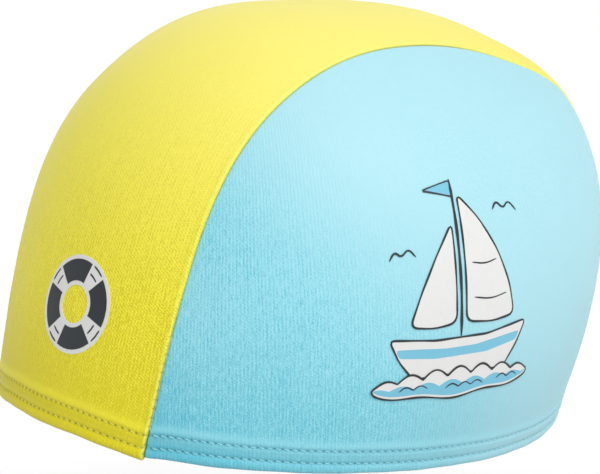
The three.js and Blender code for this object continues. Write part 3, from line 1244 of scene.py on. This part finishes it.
GULLS = (
    ((12.4, 20.6), (14.2, 23.4), (16.6, 20.8), (19.0, 23.8), (21.6, 20.8)),
    ((-20.6, 9.6), (-19.0, 12.0), (-17.2, 9.9), (-15.2, 12.2), (-13.2, 9.6)),
)
OUTLINE = 0.50 * MM
FINE_LINE = 0.7 * OUTLINE
# The sea is a band of foam under the hull: its ends, its middle and its crests
SEA_LEFT = -26.5
SEA_RIGHT = 26.0
SEA_LEVEL = -22.9
SEA_CRESTS = 7
RIPPLES = ((-18.5, -23.9, 8.5, 2), (-4.5, -24.5, 12.5, 3), (13.0, -23.9, 8.5, 2))

# A life ring on the front
RING_PLACE = (4.6, 24.6, 12.0)
RING_OUTER = 11.6 * MM
RING_INNER = 6.0 * MM
RING_BORDER = 1.1 * MM


def sea_edges():
    """The foam's scalloped upper edge, the water's upper edge within it, and the lower edge."""
    share = np.linspace(0, 1, 211)
    x = SEA_LEFT + (SEA_RIGHT - SEA_LEFT) * share
    body = np.sin(math.pi * share) ** 0.4
    scallop = np.abs(np.sin(SEA_CRESTS * math.pi * share))
    swell = np.sin(5 * math.pi * share + 0.5)
    upper = SEA_LEVEL + body * (1.6 + 2.1 * scallop)
    water = SEA_LEVEL + body * (1.4 * np.abs(np.sin(SEA_CRESTS * math.pi * share + 1.0)) - 0.8)
    lower = SEA_LEVEL - body * (3.9 + 0.5 * swell)
    return [np.stack([x, y], -1) * MM for y in (upper, water, lower)]


def grid_patch(frame_here, flat, height):
    """Points and faces of a film on a grid of flat points."""
    quads = quads_of(numbered(*flat.shape[:2])).tolist()
    flat = flat.reshape(-1, 2)
    return laid_on(frame_here, flat, height), quads, flat


def band_patch(frame_here, upper, lower, height):
    """Points and faces of a film between two edges with as many points."""
    across = np.linspace(0, 1, 5)[:, None, None]
    return grid_patch(frame_here, upper + (lower - upper) * across, height)


def ripple_line(x, y, width, crests):
    share = np.linspace(0, 1, 12 * crests)
    return np.stack([x + width * share, y + np.abs(np.sin(math.pi * crests * share))], -1) * MM


def smooth_line(corners, rounds=2):
    """An open line through rounded corners, in metres from millimetres."""
    line = np.array(corners, float) * MM
    for _ in range(rounds):
        cut = np.stack([0.75 * line[:-1] + 0.25 * line[1:], 0.25 * line[:-1] + 0.75 * line[1:]], 1)
        line = np.concatenate([line[:1], cut.reshape(-1, 2), line[-1:]])
    return line


def make_boat():
    here = print_frame(*BOAT_PLACE)
    sails = [rounded(MAIN_SAIL, 2.4), rounded(FORE_SAIL, 2.4)]
    hull = rounded(HULL, 1.6)
    pennant = rounded(PENNANT, 0.9)
    upper, water, lower = sea_edges()
    over_hull = FILM + 1.8 * INK
    white = [film_patch(here, shape, FILM) for shape in (*sails, hull)]
    white.append(band_patch(here, upper, lower, over_hull))
    blue = [
        film_patch(here, pennant, FILM),
        film_patch(here, rounded(HULL_BAND, 0.9), FILM + 0.5 * INK),
        band_patch(here, water, lower + (0, 0.8 * MM), over_hull + 0.5 * INK),
    ]
    ink = [ink_line(here, shape, OUTLINE, True, FILM + INK) for shape in (*sails, hull, pennant)]
    ink.append(ink_line(here, smooth_line(MAST), 1.5 * OUTLINE, False, FILM + INK))
    for line in GULLS:
        ink.append(ink_line(here, smooth_line(line, 3), OUTLINE, False, FILM + INK))
    for line in BATTENS:
        ink.append(ink_line(here, smooth_line(line, 3), FINE_LINE, False, FILM + INK))
    shore = np.concatenate([upper, lower[-2:0:-1]])
    ink.append(ink_line(here, shore, OUTLINE, True, over_hull + INK))
    for ripple in RIPPLES:
        ink.append(ink_line(here, ripple_line(*ripple), FINE_LINE, False, over_hull + INK))
    return (
        print_piece("boat_white_film", white, FILM_THICKNESS, WHITE_FILM),
        print_piece("boat_blue_film", blue, FILM_THICKNESS, BLUE_FILM),
        print_piece("boat_ink", ink, INK_THICKNESS, DARK_INK),
    )


def ring_part(here, inner, outer, low, high, height):
    """Part of a ring between two radii and two angles in degrees."""
    turns = np.radians(np.linspace(low, high, max(8, int((high - low) / 3)) + 1))[:, None]
    radii = np.linspace(inner, outer, 7)
    flat = np.stack([radii * np.cos(turns), radii * np.sin(turns)], -1)
    return grid_patch(here, flat, height)


def make_ring():
    here = print_frame(*RING_PLACE)
    white = [ring_part(here, RING_INNER - RING_BORDER, RING_OUTER + RING_BORDER, 0, 360, FILM)]
    ink = []
    for quarter in range(4):
        low = 45 + 90 * quarter
        ink.append(ring_part(here, RING_INNER, RING_OUTER, low + 14, low + 76, FILM + INK))
        turn = math.radians(low)
        for radius in (0.80, 1.0):
            reach = RING_OUTER * radius
            bar = np.array([
                (reach * math.cos(turn - 0.17), reach * math.sin(turn - 0.17)),
                (reach * math.cos(turn), reach * math.sin(turn)),
                (reach * math.cos(turn + 0.17), reach * math.sin(turn + 0.17)),
            ])
            ink.append(ink_line(here, bar, 0.8 * OUTLINE, False, FILM + INK))
    return (
        print_piece("ring_white_film", white, FILM_THICKNESS, WHITE_FILM),
        print_piece("ring_ink", ink, INK_THICKNESS, DARK_INK),
    )


STITCHES = make_stitches()
BOAT = make_boat()
RING = make_ring()
make_panels()


# Floor, world and lights

FLOOR_LEVEL = -0.42
FLOOR_SIZE = 160
# The studio's white light from above, and the brighter haze over the floor's far edge
SKY_LIGHT = 0.36
HAZE_LIGHT = 1.0


def floor_finish():
    finish = Finish("pale floor")
    cloud = finish.cloud(3.0, 3.0)
    distance = finish.node("ShaderNodeVectorMath", {"operation": "LENGTH"}, {0: finish.object_place()})
    # painted shadow: the floor is painted grey under the cap and turns pale further out, which also dims
    # the light it bounces up onto the cap
    beyond_painted_shadow = finish.above(Value(finish, distance.outputs["Value"]), 0.72, 0.36)
    pale = finish.blend(cloud, (0.975, 0.975, 0.975), (0.99, 0.99, 0.99))
    finish.set(Base_Color=finish.blend(beyond_painted_shadow, (0.50, 0.50, 0.50), pale), Roughness=0.9)
    return finish.material


def soft_sun(name, azimuth, elevation, strength, spread):
    """A broad light from a direction, in degrees."""
    light = bpy.data.lights.new(name, "SUN")
    light.energy = strength
    light.angle = math.radians(spread)
    lamp = bpy.data.objects.new(name, light)
    towards = direction(math.radians(azimuth), math.radians(elevation))
    lamp.rotation_euler = towards.to_track_quat("Z", "Y").to_euler()
    bpy.context.scene.collection.objects.link(lamp)


def studio_world():
    """White light from all sides, brighter near the horizon."""
    world = bpy.data.worlds.new("studio")
    world.use_nodes = True
    nodes = world.node_tree.nodes
    links = world.node_tree.links
    direction = nodes.new("ShaderNodeTexCoord")
    parts = nodes.new("ShaderNodeSeparateXYZ")
    rise = nodes.new("ShaderNodeMapRange")
    rise.interpolation_type = "SMOOTHSTEP"
    levels = {"From Min": 0.03, "From Max": 0.16, "To Min": HAZE_LIGHT, "To Max": SKY_LIGHT}
    for key, value in levels.items():
        rise.inputs[key].default_value = value
    links.new(direction.outputs["Generated"], parts.inputs[0])
    links.new(parts.outputs["Z"], rise.inputs["Value"])
    links.new(rise.outputs["Result"], nodes["Background"].inputs["Strength"])
    nodes["Background"].inputs["Color"].default_value = (1, 1, 1, 1)
    return world


def make_studio():
    bpy.ops.object.select_all(action="DESELECT")
    bpy.ops.mesh.primitive_plane_add(size=FLOOR_SIZE, location=(0, 0, FLOOR_LEVEL))
    floor = bpy.context.object
    floor.name = "floor"
    bpy.ops.object.transform_apply(location=True, rotation=False, scale=False)
    floor.data.materials.append(floor_finish())
    bpy.context.scene.world = studio_world()
    soft_sun("key from above right", 88, 56, 2.20, 55)
    soft_sun("fill from behind", 236, 34, 0.5, 60)
    bpy.context.scene.view_settings.view_transform = "Standard"


make_studio()
